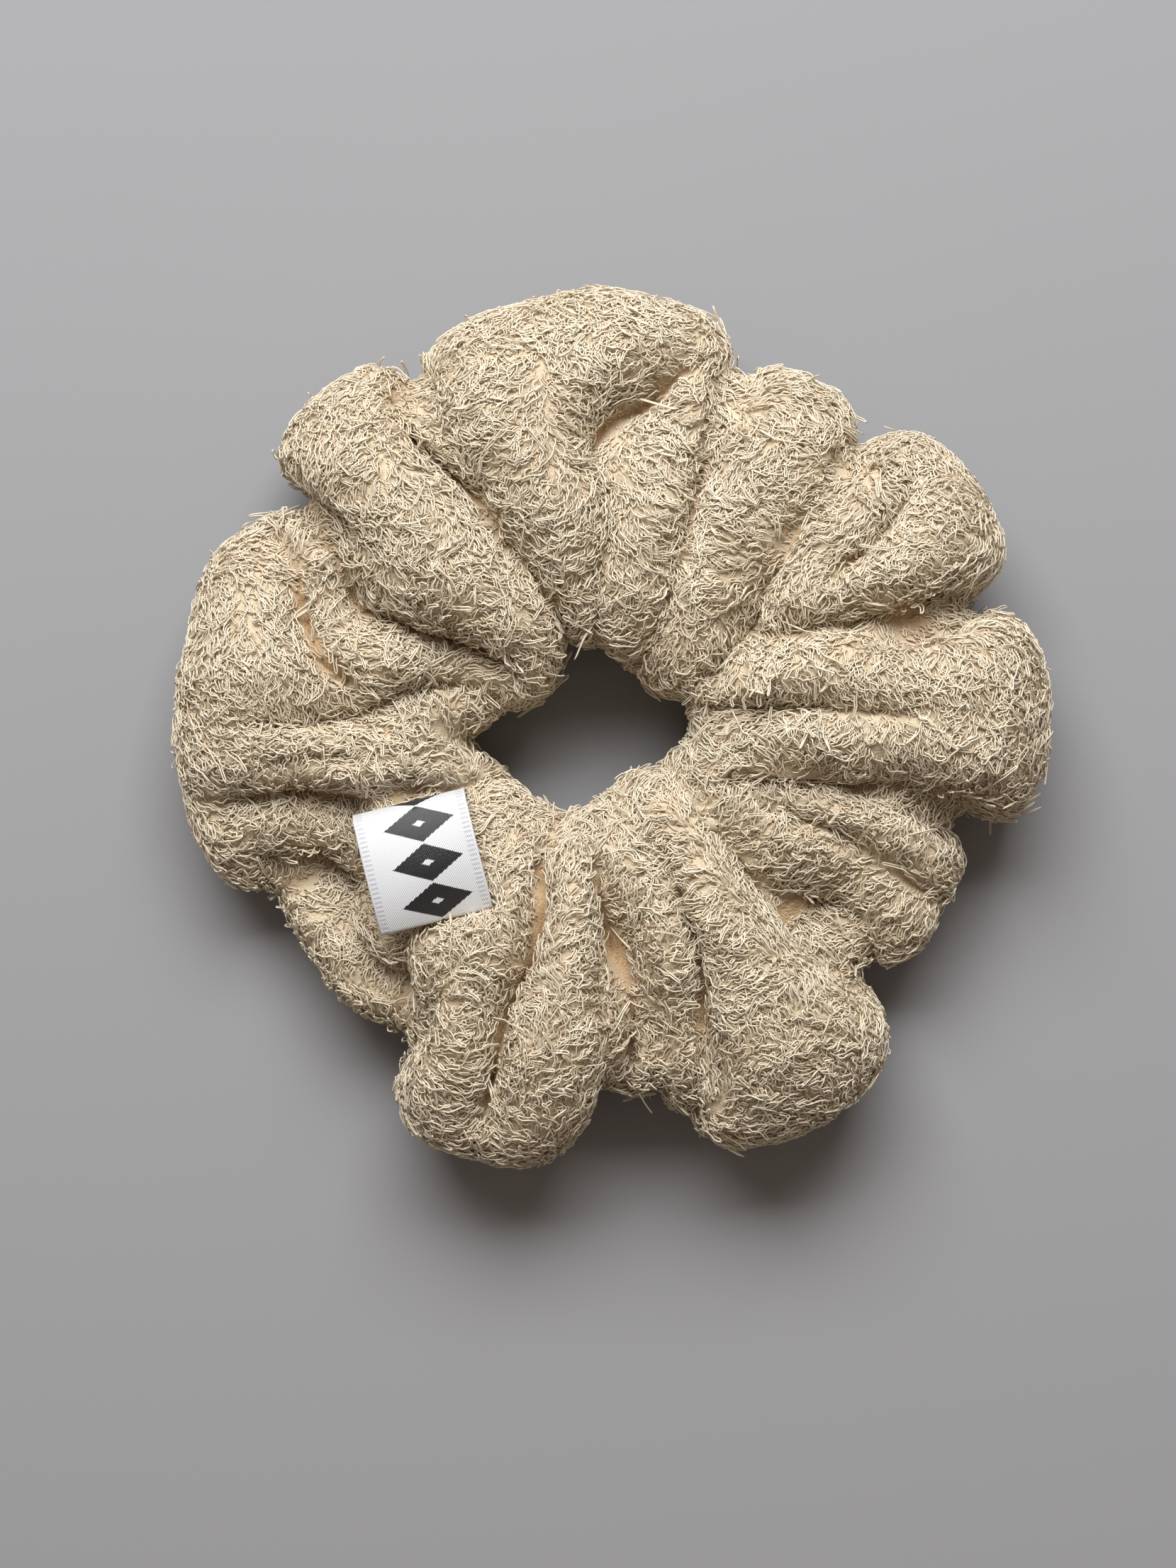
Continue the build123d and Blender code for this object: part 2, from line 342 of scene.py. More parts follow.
def folded_surface():
    """The folded cloth as a grid of points, AROUND by ACROSS, and the way to each from its nearest fold."""
    angle, turn = grid_cells(AROUND, ACROSS, True, True)
    angle, turn = angle * 360 / AROUND, turn * 360 / ACROSS
    flat = tube_point(angle, turn)
    inward = -grid_normals(flat.reshape(AROUND, ACROSS, 3)).reshape(-1, 3)
    fade = fold_fade(turn)
    push, near = press_folds(flat, fade)
    for x, y, radius, depth in HOLLOWS:
        away = np.hypot(flat[:, 0] - x, flat[:, 1] - y)
        push += depth * np.exp(-(away / radius) ** 2) * np.clip(-2 * inward[:, 2], 0, 1)
    push *= fade
    push += sum(height * lattice_noise(flat, size, seed) for height, size, seed in LUMPS)
    shaped = flat + inward * push[:, None]
    height, size, seed = BASE_LUMPS
    shaped[:, 2] = np.maximum(shaped[:, 2], SURFACE + height * lattice_noise(flat, size, seed) ** 2)
    top_side = turn < 180
    shaped[:, 2] = np.where(top_side, under_label(shaped), shaped[:, 2])
    shaped[:, 2] = clear_elastic(shaped, top_side)
    return soften(shaped.reshape(AROUND, ACROSS, 3)), near.reshape(AROUND, ACROSS, 3)


def soft_floor(height, floor):
    """Never below the floor, with a smooth turn where it meets it."""
    return floor + np.log1p(np.exp(np.clip(height - floor, -30, 30)))


def under_label(points):
    """Heights of the cloth where the label presses it down."""
    root, heading, sideways = label_axes()
    along, across = (points - root) @ heading, (points - root) @ sideways
    beside = LABEL_WIDTH / 2 + BED_EDGE - np.abs(across)
    inset = np.minimum(beside, np.minimum(along + 0.3, LABEL_REACH + BED_EDGE - along))
    ceiling = root[2] + label_arch(along) - LABEL_BED
    height = points[:, 2]
    return height + np.clip(inset / BED_EDGE, 0, 1) * (-soft_floor(-height, -ceiling) - height)


def clear_elastic(points, top_side):
    """Heights that keep the top and the bottom of the cloth clear of the elastic inside."""
    near, far, bottom, top = ELASTIC_ROOM
    radius = np.hypot(points[:, 0], points[:, 1])
    over = np.clip(np.minimum(radius - near, far - radius) / ROOM_BLEND, 0, 1)
    height = points[:, 2]
    clear = np.where(top_side, soft_floor(height, top), -soft_floor(-height, -bottom))
    return height + over * (clear - height)


def soften(grid):
    """Evens out a closed grid of points a little."""
    near = sum(np.roll(grid, shift, axis) for axis in (0, 1) for shift in (-1, 1)) / 4
    return grid * 0.5 + near * 0.5


def grid_normals(grid):
    """Outward normals of a closed grid."""
    around = np.roll(grid, -1, 0) - np.roll(grid, 1, 0)
    across = np.roll(grid, -1, 1) - np.roll(grid, 1, 1)
    return unit(np.cross(around, across))


# Meshes

def new_mesh(name, made_of, points, *face_sets):
    """A smooth mesh object from points in millimetres and arrays of faces, one array for each face shape."""
    mesh = bpy.data.meshes.new(name)
    mesh.materials.append(made_of)
    points = np.asarray(points, float) * MM
    face_sets = [np.asarray(faces, np.int32) for faces in face_sets]
    corners = np.concatenate([faces.ravel() for faces in face_sets])
    sizes = np.concatenate([np.full(len(faces), faces.shape[1]) for faces in face_sets])
    mesh.vertices.add(len(points))
    mesh.vertices.foreach_set("co", points.ravel())
    mesh.loops.add(len(corners))
    mesh.loops.foreach_set("vertex_index", corners)
    mesh.polygons.add(len(sizes))
    mesh.polygons.foreach_set("loop_start", (np.cumsum(sizes) - sizes).astype(np.int32))
    mesh.polygons.foreach_set("use_smooth", np.full(len(sizes), True))
    mesh.update(calc_edges=True)
    mesh.validate()
    piece = bpy.data.objects.new(name, mesh)
    bpy.context.scene.collection.objects.link(piece)
    return piece


def lay_out(piece, uv):
    """The flat layout named OFBake, one (u, v) for each corner of each face."""
    layer = piece.data.uv_layers.new(name="OFBake")
    layer.data.foreach_set("uv", np.asarray(uv, np.float32).ravel())


def grid_cells(rows, columns, close_rows, close_columns):
    """The row and the column of each cell of a grid of points, which may be closed on itself."""
    i = np.arange(rows if close_rows else rows - 1)
    j = np.arange(columns if close_columns else columns - 1)
    return [part.ravel() for part in np.meshgrid(i, j, indexing="ij")]


def grid_faces(rows, columns, close_rows, close_columns):
    """The cells of a grid of points as quads."""
    i, j = grid_cells(rows, columns, close_rows, close_columns)
    i2, j2 = (i + 1) % rows, (j + 1) % columns
    return np.stack([i * columns + j, i2 * columns + j, i2 * columns + j2, i * columns + j2], axis=1)


def grid_layout(rows, columns, close_rows, close_columns):
    """The layout of grid_faces: rows go across the picture and columns up it."""
    i, j = grid_cells(rows, columns, close_rows, close_columns)
    i, j = i / rows, j / columns
    i2, j2 = i + 1 / rows, j + 1 / columns
    return np.stack([i, j, i2, j, i2, j2, i, j2], axis=1)


def new_sheet(name, made_of, grid, closed):
    """A mesh object with its layout from a grid of points, which is open or closed both ways."""
    rows, columns = grid.shape[:2]
    piece = new_mesh(name, made_of, grid.reshape(-1, 3), grid_faces(rows, columns, closed, closed))
    lay_out(piece, grid_layout(rows, columns, closed, closed))
    return piece


def mark(piece, name, values):
    """Stores a number, or a vector, on each point of a mesh."""
    values = np.asarray(values, np.float32)
    if values.ndim == 1:
        piece.data.attributes.new(name, "FLOAT", "POINT").data.foreach_set("value", values)
    else:
        piece.data.attributes.new(name, "FLOAT_VECTOR", "POINT").data.foreach_set("vector", values.ravel())


def thicken(piece, thickness, offset, rim):
    """Gives a sheet its thickness, with the second face on the inside."""
    thick = piece.modifiers.new("thickness", "SOLIDIFY")
    thick.thickness = thickness * MM
    thick.offset = offset
    thick.use_rim = rim
    bpy.context.view_layer.objects.active = piece
    bpy.ops.object.modifier_apply(modifier=thick.name)


def unit(v):
    """Vectors of the same direction and a length of 1."""
    return v / np.maximum(np.linalg.norm(v, axis=-1, keepdims=True), 1e-9)


# Materials

def material(name, base, roughness, **sockets):
    """A Principled material with constant values on its own sockets."""
    made = bpy.data.materials.new(name)
    made.use_nodes = True
    shader = made.node_tree.nodes["Principled BSDF"]
    shader.inputs["Base Color"].default_value = (*base, 1)
    shader.inputs["Roughness"].default_value = roughness
    for socket, value in sockets.items():
        shader.inputs[socket.replace("_", " ")].default_value = value
    return made


def add_node(made, kind, **settings):
    """A new node with its settings."""
    node = made.node_tree.nodes.new(kind)
    for key, value in settings.items():
        setattr(node, key, value)
    return node


def attribute(made, name):
    """A node that reads what mark() has stored."""
    return add_node(made, "ShaderNodeAttribute", attribute_type="GEOMETRY", attribute_name=name)


def feed(made, socket, value):
    """Links a value into a socket, or sets it there where it is a number."""
    if isinstance(value, (int, float)):
        socket.default_value = value
    else:
        made.node_tree.links.new(value, socket)


def calc(made, operation, *values):
    """A Math node's result."""
    node = add_node(made, "ShaderNodeMath", operation=operation)
    for socket, value in zip(node.inputs, values):
        feed(made, socket, value)
    return node.outputs[0]


def noise(made, size, detail):
    """Noise with lumps about size millimetres apart, from 0 to 1."""
    node = add_node(made, "ShaderNodeTexNoise")
    node.inputs["Scale"].default_value = 1 / (size * MM)
    node.inputs["Detail"].default_value = detail
    feed(made, node.inputs["Vector"], add_node(made, "ShaderNodeTexCoord").outputs["Object"])
    return node.outputs["Fac"]


def ramp(made, factor, stops):
    """A factor through a ramp of (place, colour) stops."""
    node = add_node(made, "ShaderNodeValToRGB")
    elements = node.color_ramp.elements
    while len(elements) < len(stops):
        elements.new(0.5)
    for element, (place, colour) in zip(elements, stops):
        element.position = place
        element.color = (*colour, 1)
    feed(made, node.inputs["Fac"], factor)
    return node.outputs["Color"]


def paint(made, colour):
    """Links a colour into the material's own colour."""
    feed(made, made.node_tree.nodes["Principled BSDF"].inputs["Base Color"], colour)


def emboss(made, height, depth):
    """A bump of depth millimetres."""
    node = add_node(made, "ShaderNodeBump")
    node.inputs["Distance"].default_value = depth * MM
    feed(made, node.inputs["Height"], height)
    feed(made, made.node_tree.nodes["Principled BSDF"].inputs["Normal"], node.outputs["Normal"])


def yarn_material():
    """Glossy cream yarn: each loop has its own random tone, with painted shade that darkens it at its root,
    beside a crease and on the low loops.
    """
    made = material("terry_yarn", (0.8, 0.7, 0.55), 0.3, Specular_IOR_Level=0.75)
    paint(made, ramp(made, attribute(made, "tone").outputs["Fac"], [
        (0.0, (0.46, 0.30, 0.18)),
        (0.3, (0.60, 0.46, 0.32)),
        (0.65, (0.68, 0.565, 0.41)),
        (1.0, (0.77, 0.685, 0.53)),
    ]))
    return made


def ground_material():
    """The woven ground under the loops with the fuzz of their roots, with painted shade: dark brown where the
    pile parts at the creases, and darker than the yarn all over as painted shade under the loops.
    """
    made = material("terry_ground", (0.84, 0.72, 0.54), 0.85, Specular_IOR_Level=0.15, Sheen_Weight=0.25)
    fuzz = noise(made, 0.3, 3.0)
    uneven = calc(made, "MULTIPLY_ADD", fuzz, 0.5, -0.25)
    tone = calc(made, "ADD", attribute(made, "tone").outputs["Fac"], uneven)
    # low tones are painted shade at the creases; the whole ramp is darker and browner than the yarn's as
    # painted shade under the loops
    paint(made, ramp(made, tone, [
        (0.0, (0.35, 0.20, 0.09)),
        (0.25, (0.53, 0.37, 0.21)),
        (0.6, (0.60, 0.48, 0.33)),
        (1.0, (0.66, 0.55, 0.39)),
    ]))
    emboss(made, fuzz, 0.25)
    return made


def thread_material():
    """Two-ply polyester thread: its strands wind round it."""
    made = material("sewing_thread", (0.84, 0.76, 0.62), 0.42, Specular_IOR_Level=0.5, Sheen_Weight=0.2)
    strands = noise(made, 0.25, 2.0)
    paint(made, ramp(made, strands, [(0.3, (0.74, 0.64, 0.48)), (0.7, (0.88, 0.81, 0.67))]))
    emboss(made, strands, 0.08)
    return made


def elastic_material():
    """Woven elastic: pale cotton ribs over rubber cords."""
    made = material("elastic_webbing", (0.88, 0.86, 0.82), 0.75, Specular_IOR_Level=0.25, Sheen_Weight=0.15)
    weave = noise(made, 0.35, 2.0)
    groove = attribute(made, "rib").outputs["Fac"]
    tone = calc(made, "ADD", calc(made, "MULTIPLY", groove, 0.7), calc(made, "MULTIPLY", weave, 0.3))
    paint(made, ramp(made, tone, [
        (0.1, (0.62, 0.60, 0.56)),
        (0.5, (0.84, 0.82, 0.78)),
        (0.9, (0.91, 0.90, 0.87)),
    ]))
    emboss(made, weave, 0.12)
    return made


def ribbon_material():
    """White satin ribbon: a fine diagonal weave, ladder-stitched edges and a row of black lozenges."""
    made = material("satin_ribbon", (0.9, 0.9, 0.92), 0.36, Specular_IOR_Level=0.55, Sheen_Weight=0.1)
    place = attribute(made, "ribbon").outputs["Vector"]
    split = add_node(made, "ShaderNodeSeparateXYZ")
    feed(made, split.inputs[0], place)
    across, along = split.outputs["X"], split.outputs["Y"]
    twill = diagonal_weave(made, place)
    cloth = ramp(made, twill, [(0.0, (0.64, 0.65, 0.68)), (1.0, (0.73, 0.735, 0.75))])
    print_black = ramp(made, twill, [(0.0, (0.009, 0.009, 0.011)), (1.0, (0.019, 0.019, 0.020))])
    groove = ladder_stitches(made, across, along)
    edged = blend_colour(made, calc(made, "MULTIPLY", groove, 0.6), cloth, (0.42, 0.43, 0.47))
    paint(made, blend_colour(made, lozenges(made, across, along, twill), edged, print_black))
    emboss(made, calc(made, "SUBTRACT", twill, groove), 0.03)
    return made


def diagonal_weave(made, place):
    """The twill of the ribbon, from 0 to 1."""
    weave = add_node(made, "ShaderNodeTexWave", bands_direction="DIAGONAL")
    weave.inputs["Scale"].default_value = 0.628 / TWILL
    weave.inputs["Distortion"].default_value = 1.6
    weave.inputs["Detail"].default_value = 1.0
    weave.inputs["Detail Scale"].default_value = 3.0
    feed(made, weave.inputs["Vector"], place)
    return weave.outputs["Fac"]


def lozenges(made, across, along, twill):
    """1 in the printed lozenges, with an eye left white and edges that follow the weave."""
    aside = calc(made, "ABSOLUTE", calc(made, "SUBTRACT", across, MOTIF_OFFSET))
    beat = calc(made, "PINGPONG", calc(made, "SUBTRACT", along, MOTIF_START), MOTIF_PITCH / 2)
    wide = calc(made, "DIVIDE", aside, MOTIF_HALF)
    long = calc(made, "DIVIDE", beat, MOTIF_LENGTH / 2)
    shape = calc(made, "ADD", wide, long)
    ragged = calc(made, "ADD", shape, calc(made, "MULTIPLY", twill, 0.05))
    inside = calc(made, "LESS_THAN", ragged, 1.0)
    around_eye = calc(made, "GREATER_THAN", ragged, MOTIF_EYE)
    return calc(made, "MULTIPLY", inside, around_eye)


def ladder_stitches(made, across, along):
    """1 in the gaps between the stitches along both edges."""
    rung = calc(made, "LESS_THAN", calc(made, "FRACT", calc(made, "DIVIDE", along, RUNG_PITCH)), 0.45)
    ladder = calc(made, "COMPARE", calc(made, "ABSOLUTE", across), SELVEDGE, SELVEDGE_WIDTH / 2)
    return calc(made, "MULTIPLY", rung, ladder)


def blend_colour(made, factor, first, second):
    """A mix of two colours: the first where the factor is 0, the second where it is 1."""
    node = add_node(made, "ShaderNodeMix", data_type="RGBA")
    feed(made, node.inputs["Factor"], factor)
    colours = [socket for socket in node.inputs if socket.type == "RGBA"]
    for socket, colour in zip(colours, (first, second)):
        if isinstance(colour, tuple):
            socket.default_value = (*colour, 1)
        else:
            feed(made, socket, colour)
    return next(socket for socket in node.outputs if socket.type == "RGBA")


# The terry cover

GROUND_CREASE_SHADE = 1.2       # painted shade darkens the ground this close to a crease


def make_cover(surface, near, ground):
    """The ground cloth: a closed tube with a real thickness, with painted shade that darkens it towards its
    folds, and a random mottle.
    """
    cover = new_sheet("cover_cloth", ground, surface, True)
    gap = np.linalg.norm(near.reshape(-1, 3), axis=1)
    mottle = 0.10 * lattice_noise(surface.reshape(-1, 3), 2.4, 21)
    # tone falls towards 0 at a crease as painted shade, plus a random mottle
    tone = 1 - np.exp(-(gap / GROUND_CREASE_SHADE) ** 1.5) + mottle
    mark(cover, "tone", np.clip(tone, 0, 1))
    thicken(cover, GROUND_CLOTH, -1, False)
    return cover


LOOPS = 40000           # before those that stand in a crease or on the label are left out
BARE = 0.5              # no loops this close to a crease
PARTED = 0.9            # they grow to their full size over this distance beside it
PARTED_SIZE = 0.4       # and start at this share of it
SIDES = 4               # of the yarn
SECTORS = 20
PRESSED = 0.5           # share of the loops that is missing where the cloth lies on the table
HIGH_SHARE = 0.42       # of the loops stand high and catch the light

# Each pair holds the limits of an even spread. Where there are two, the first is for high loops.
YARN = ((0.085, 0.12), (0.10, 0.13))    # radius
LENGTH = ((1.8, 3.5), (1.2, 2.6))
STAND = ((0.55, 1.05), (0.2, 0.5))      # height of a loop's top over the ground
HOOK_RADIUS = (0.14, 0.32)
HOME = (0.6, 1.0)       # how far the second leg comes back, as a share of the length
WAVE = (0.14, 0.30)     # how far the yarn waves to each side
PACE = (2.4, 4.2)       # of the waves, in radians for each millimetre
BENDS = (0.0, 0.16)     # loops follow the bend of the cloth within these limits, as one over a radius

STRAY = (0.3, 0.5)      # how far the lay of a high and of a low loop scatters, in radians
SWIRLS = ((2.4, 10.0, 11), (0.9, 4.0, 12))      # its patches: (turn in radians, size, seed)
CREASE_LAY = 1.4        # how strongly loops lean away from a crease
LAY_REACH = 1.6         # and how near to it
CURL = 0.30
TONE = (0.96, 0.74)     # of a high and of a low loop: the low loops are darker as painted shade deep in the pile
TONE_SPREAD = 0.08
LOOP_CREASE_SHADE = 0.30      # painted shade: how much darker a loop is beside a crease
CREASE_REACH = 1.3
LOOP_ROOT_SHADE = 0.4         # and the painted shade at its root
TABLE = 0.15            # no yarn lies lower than this
LOOP_BED = 0.8          # nor higher than this far below the middle of the label over it
LABEL_OVERLAP = 0.9     # yarn may lie this far over the label's sewn edge
ANY_WAY = (0.31, 0.52, 0.79)    # the yarn's first side faces away from this direction
CELL_MARGIN = 0.1       # of a loop's cell in the layout
CELL_FILL = 0.8

OUTWARD = np.array([0, 0.12, 0.28, 0.45, 0.63, 0.81, 1.0])      # steps of the first leg along the lay
HOOK = np.radians([50, 100, 150])       # then it turns back
BACK = np.array([0.3, 0.6, 1.0])        # and comes home under itself


def scatter(surface, near, rng):
    """Evenly strewn spots on the cloth: positions, normals, the way to each from its nearest fold, and for
    bend_along the steps along the grid's two directions and how the normal turns over each."""
    normal = grid_normals(surface)
    steps = [
        np.roll(field, -1, axis) - np.roll(field, 1, axis)
        for field in (surface, normal)
        for axis in (0, 1)
    ]
    next_row, next_column = np.roll(surface, -1, 0), np.roll(surface, -1, 1)
    diagonals = np.cross(np.roll(next_row, -1, 1) - surface, next_column - next_row)
    area = np.linalg.norm(diagonals, axis=-1).ravel() / 2
    area *= 1 - PRESSED * np.clip(-2 * normal[..., 2].ravel() - 1, 0, 1)
    share = np.cumsum(area) / area.sum()
    draw = (np.arange(LOOPS) + rng.random(LOOPS)) / LOOPS
    cell = np.minimum(np.searchsorted(share, draw), area.size - 1)
    u, v = rng.random((2, LOOPS, 1))
    i, j = np.divmod(cell, ACROSS)
    i2, j2 = (i + 1) % AROUND, (j + 1) % ACROSS

    def blend(field):
        return (
            field[i, j] * (1 - u) * (1 - v) + field[i2, j] * u * (1 - v)
            + field[i2, j2] * u * v + field[i, j2] * (1 - u) * v
        )

    return blend(surface), unit(blend(normal)), blend(near), [blend(step) for step in steps]


def bend_along(lay, steps):
    """How sharply the cloth bends down along each lay: one over the radius of the bend."""
    along, across, turn_along, turn_across = steps

    def dot(a, b):
        return np.sum(a * b, axis=1, keepdims=True)

    spread = dot(along, along) * dot(across, across) - dot(along, across) ** 2
    a = (dot(lay, along) * dot(across, across) - dot(lay, across) * dot(along, across)) / spread
    b = (dot(lay, across) * dot(along, along) - dot(lay, along) * dot(along, across)) / spread
    return np.clip(dot(a * turn_along + b * turn_across, lay), *BENDS)


def loop_lay(spot, normal, near, along, high, rng):
    """The way each loop lies: across the tube, turned in swirls, and away from a crease that is near."""
    gap = np.linalg.norm(near, axis=1, keepdims=True)
    away = unit(near - normal * np.sum(near * normal, axis=1, keepdims=True))
    across = np.cross(normal, along)
    swirl = sum(lattice_noise(spot, size, seed) * turn for turn, size, seed in SWIRLS)
    heading = (math.pi / 2 + swirl + rng.normal(0, 1, LOOPS) * np.where(high, *STRAY))[:, None]
    lay = along * np.cos(heading) + across * np.sin(heading)
    return unit(lay + CREASE_LAY * away * np.exp(-(gap / LAY_REACH) ** 2))


def spread(limits, rng):
    """A random number between the limits for each loop, as a column."""
    return rng.uniform(*limits, LOOPS)[:, None]


def spread_by_kind(high, limits, rng):
    """The same, with limits for high loops and for low ones."""
    return np.where(high[:, None], spread(limits[0], rng), spread(limits[1], rng))


def loop_lines(spot, normal, near, steps, high, rng):
    """The centre line of every loop: up, out along the lay in waves, round a hook and home under itself."""
    lay = loop_lay(spot, normal, near, unit(steps[0]), high, rng)
    side = np.cross(normal, lay) * rng.choice([-1, 1], LOOPS)[:, None]
    gap = np.linalg.norm(near, axis=1, keepdims=True)
    parted = PARTED_SIZE + (1 - PARTED_SIZE) * np.clip((gap - BARE) / PARTED, 0, 1)
    length = spread_by_kind(high, LENGTH, rng) * parted
    hook = spread(HOOK_RADIUS, rng)
    home = spread(HOME, rng) * length
    stand = spread_by_kind(high, STAND, rng) * parted
    wave = spread(WAVE, rng)
    pace = spread(PACE, rng)
    phase = spread((0, 2 * math.pi), rng)
    curl = rng.normal(0, CURL, LOOPS)[:, None]

    # Each is in three parts: the leg that goes out, the hook and the leg that comes home
    out = np.concatenate([OUTWARD * length, length + hook * np.sin(HOOK), length - BACK * home], axis=1)
    aside = np.concatenate([0 * OUTWARD * hook, hook * (1 - np.cos(HOOK)), (2 - 0.6 * BACK) * hook], axis=1)
    climb = stand * (1 - np.exp(-OUTWARD * length / 0.35)) - 0.25 * (OUTWARD == 0)
    droop = stand * (0.96 - 0.08 * HOOK)
    dive = (stand * 0.8 + 0.3) * (1 - BACK ** 2.2) - 0.3

    ripple = wave * np.sin(pace * out + phase) * np.clip(out / 0.6, 0, 1)
    height = np.concatenate([climb, droop, dive], axis=1) + 0.35 * wave * np.cos(pace * out + phase)
    height -= bend_along(lay, steps) * out ** 2 / 2
    sideways = aside + ripple + curl * out ** 2 / 2
    return spot[:, None] + lay[:, None] * out[..., None] + side[:, None] * sideways[..., None] + (
        normal[:, None] * height[..., None]
    )


def clear_label(lines, spot):
    """Presses the loops under the label down, and says which of those behind its sewn edge lie across it."""
    root, heading, sideways = label_axes()
    along, across = (lines - root) @ heading, (lines - root) @ sideways
    over = (np.abs(across) < LABEL_WIDTH / 2 + 0.3) & (along < LABEL_REACH + 0.5)
    behind = (spot - root) @ heading < 0.3
    under = over & ~behind[:, None] & (along > -0.5)
    ceiling = root[2] + label_arch(along) - LOOP_BED
    lines[..., 2] = np.where(under, np.minimum(lines[..., 2], ceiling), lines[..., 2])
    return behind & np.any(over & (along > LABEL_OVERLAP), axis=1)


def tube_points(lines, radius):
    """A ring of SIDES points at each step of each line."""
    tangent = unit(np.gradient(lines, axis=1))
    across = unit(np.cross(tangent[:, 0], ANY_WAY))
    rings = []
    for k in range(lines.shape[1]):
        t = tangent[:, k]
        across = unit(across - t * np.sum(across * t, axis=1, keepdims=True))
        other = np.cross(t, across)
        for side in range(SIDES):
            a = 2 * math.pi * side / SIDES
            rings.append(lines[:, k] + radius * (across * math.cos(a) + other * math.sin(a)))
    return np.stack(rings, axis=1).reshape(-1, 3)


def tube_faces(count, steps):
    """The walls and the ends of count tubes, and their layout: each tube has its own cell of the picture."""
    first = (np.arange(count) * steps * SIDES)[:, None]
    k, side = grid_cells(steps, SIDES, False, True)
    this, after = k * SIDES, (side + 1) % SIDES
    wall = np.stack([this + side, this + after, this + SIDES + after, this + SIDES + side], axis=1)
    walls = (first[:, :, None] + wall[None]).reshape(-1, 4)
    start = first + np.arange(SIDES)[::-1]
    end = first + (steps - 1) * SIDES + np.arange(SIDES)
    cells = math.ceil(math.sqrt(count))
    corner = np.stack(np.divmod(np.arange(count), cells), axis=1) + CELL_MARGIN
    scale = CELL_FILL / np.array([steps - 1, SIDES])
    wall_corners = np.stack([k, side, k, side + 1, k + 1, side + 1, k + 1, side], axis=1).reshape(-1, 2)
    wall_layout = (corner[:, None] + (wall_corners * scale)[None]).reshape(-1, 2)
    end_layout = np.repeat(np.concatenate([corner, corner + [CELL_FILL, 0]]), SIDES, axis=0)
    return walls, np.concatenate([start, end]), np.concatenate([wall_layout, end_layout]) / cells


def make_pile(surface, near, yarn):
    """The loops of the terry cloth, in sectors round the ring."""
    rng = np.random.default_rng(72)
    spot, normal, away, steps = scatter(surface, near, rng)
    high = rng.random(LOOPS) < HIGH_SHARE
    lines = loop_lines(spot, normal, away, steps, high, rng)
    gap = np.linalg.norm(away, axis=1)
    left_out = clear_label(lines, spot) | (gap < BARE)
    lines[..., 2] = np.maximum(lines[..., 2], TABLE)
    radius = spread_by_kind(high, YARN, rng)
    # the low loops' lower tone and the darkening beside creases and at the roots are painted shade; the
    # spread is random tone
    tone = np.where(high, *TONE) + rng.normal(0, TONE_SPREAD, LOOPS)
    tone += TONE_SPREAD * lattice_noise(spot, 6.0, 13)
    tone = np.clip(tone - LOOP_CREASE_SHADE * np.exp(-(gap / CREASE_REACH) ** 2), 0, 1)
    root = np.concatenate([np.clip(1 - OUTWARD / 0.3, 0, 1), 0 * HOOK, BACK ** 2])
    shade = tone[:, None] * (1 - LOOP_ROOT_SHADE * root)
    order = np.argsort(np.arctan2(spot[:, 1], spot[:, 0]))
    order = order[~left_out[order]]
    pile = []
    for index, chosen in enumerate(np.array_split(order, SECTORS)):
        points = tube_points(lines[chosen], radius[chosen])
        walls, ends, layout = tube_faces(len(chosen), lines.shape[1])
        piece = new_mesh(f"terry_loops_{index + 1:02d}", yarn, points, walls, ends)
        lay_out(piece, layout)
        mark(piece, "tone", np.repeat(shade[chosen].ravel(), SIDES))
        pile.append(piece)
    return pile


# The ribbon label

LABEL_WIDTH = 15.0
LABEL_REACH = 15.3      # from the sewn edge to the fold
LABEL_RISE = 2.0        # how much it arches
LABEL_HEADING = 284.0   # direction from the sewn edge to the fold
LABEL_GAP = 0.6         # between the middles of its two layers
LABEL_PLY = 0.26
LABEL_BED = 1.7         # how far below its middle the cloth under it lies
BED_EDGE = 1.5          # and over what width the cloth rises beside it
LABEL_TAIL = 7.3        # length of the sewn-in ends
TAIL_TOP = -1.2         # their height where they start to turn over into the label
RIBBON_STEP = 0.2       # spacing of the mesh along and across the ribbon

MOTIF_OFFSET = 0.8      # the printed row is this far off the middle of the ribbon
MOTIF_START = 3.1       # middle of the first lozenge, from the sewn edge
MOTIF_PITCH = 5.2
MOTIF_HALF = 4.8        # half of a lozenge, across the ribbon
MOTIF_LENGTH = 5.1      # a whole one, along the ribbon
MOTIF_EYE = 0.2         # its white eye, as a share of its size
TWILL = 0.34            # spacing of the weave
SELVEDGE = 6.75         # from the middle of the ribbon to its ladder stitches
SELVEDGE_WIDTH = 0.9
RUNG_PITCH = 0.62       # of the ladder stitches
RUNG_HEIGHT = 0.035


def label_axes():
    """The middle of the label's sewn edge, which is its hinge, and the ways along and across the label."""
    joints = frame["record"]["behaviour"]["joints"]
    hinge = next(joint for joint in joints if joint["name"] == "label_lift")
    root = np.array(hinge["pos_m"]) / MM
    a = math.radians(LABEL_HEADING)
    return root, np.array([math.cos(a), math.sin(a), 0]), np.array([-math.sin(a), math.cos(a), 0])


LABEL_BEND = LABEL_REACH ** 2 / (8 * LABEL_RISE) + LABEL_RISE / 2       # radius of its arch


def label_arch(along):
    """Height of the label's middle over its hinge."""
    return np.sqrt(np.maximum(LABEL_BEND ** 2 - (along - LABEL_REACH / 2) ** 2, 0)) - LABEL_BEND + LABEL_RISE


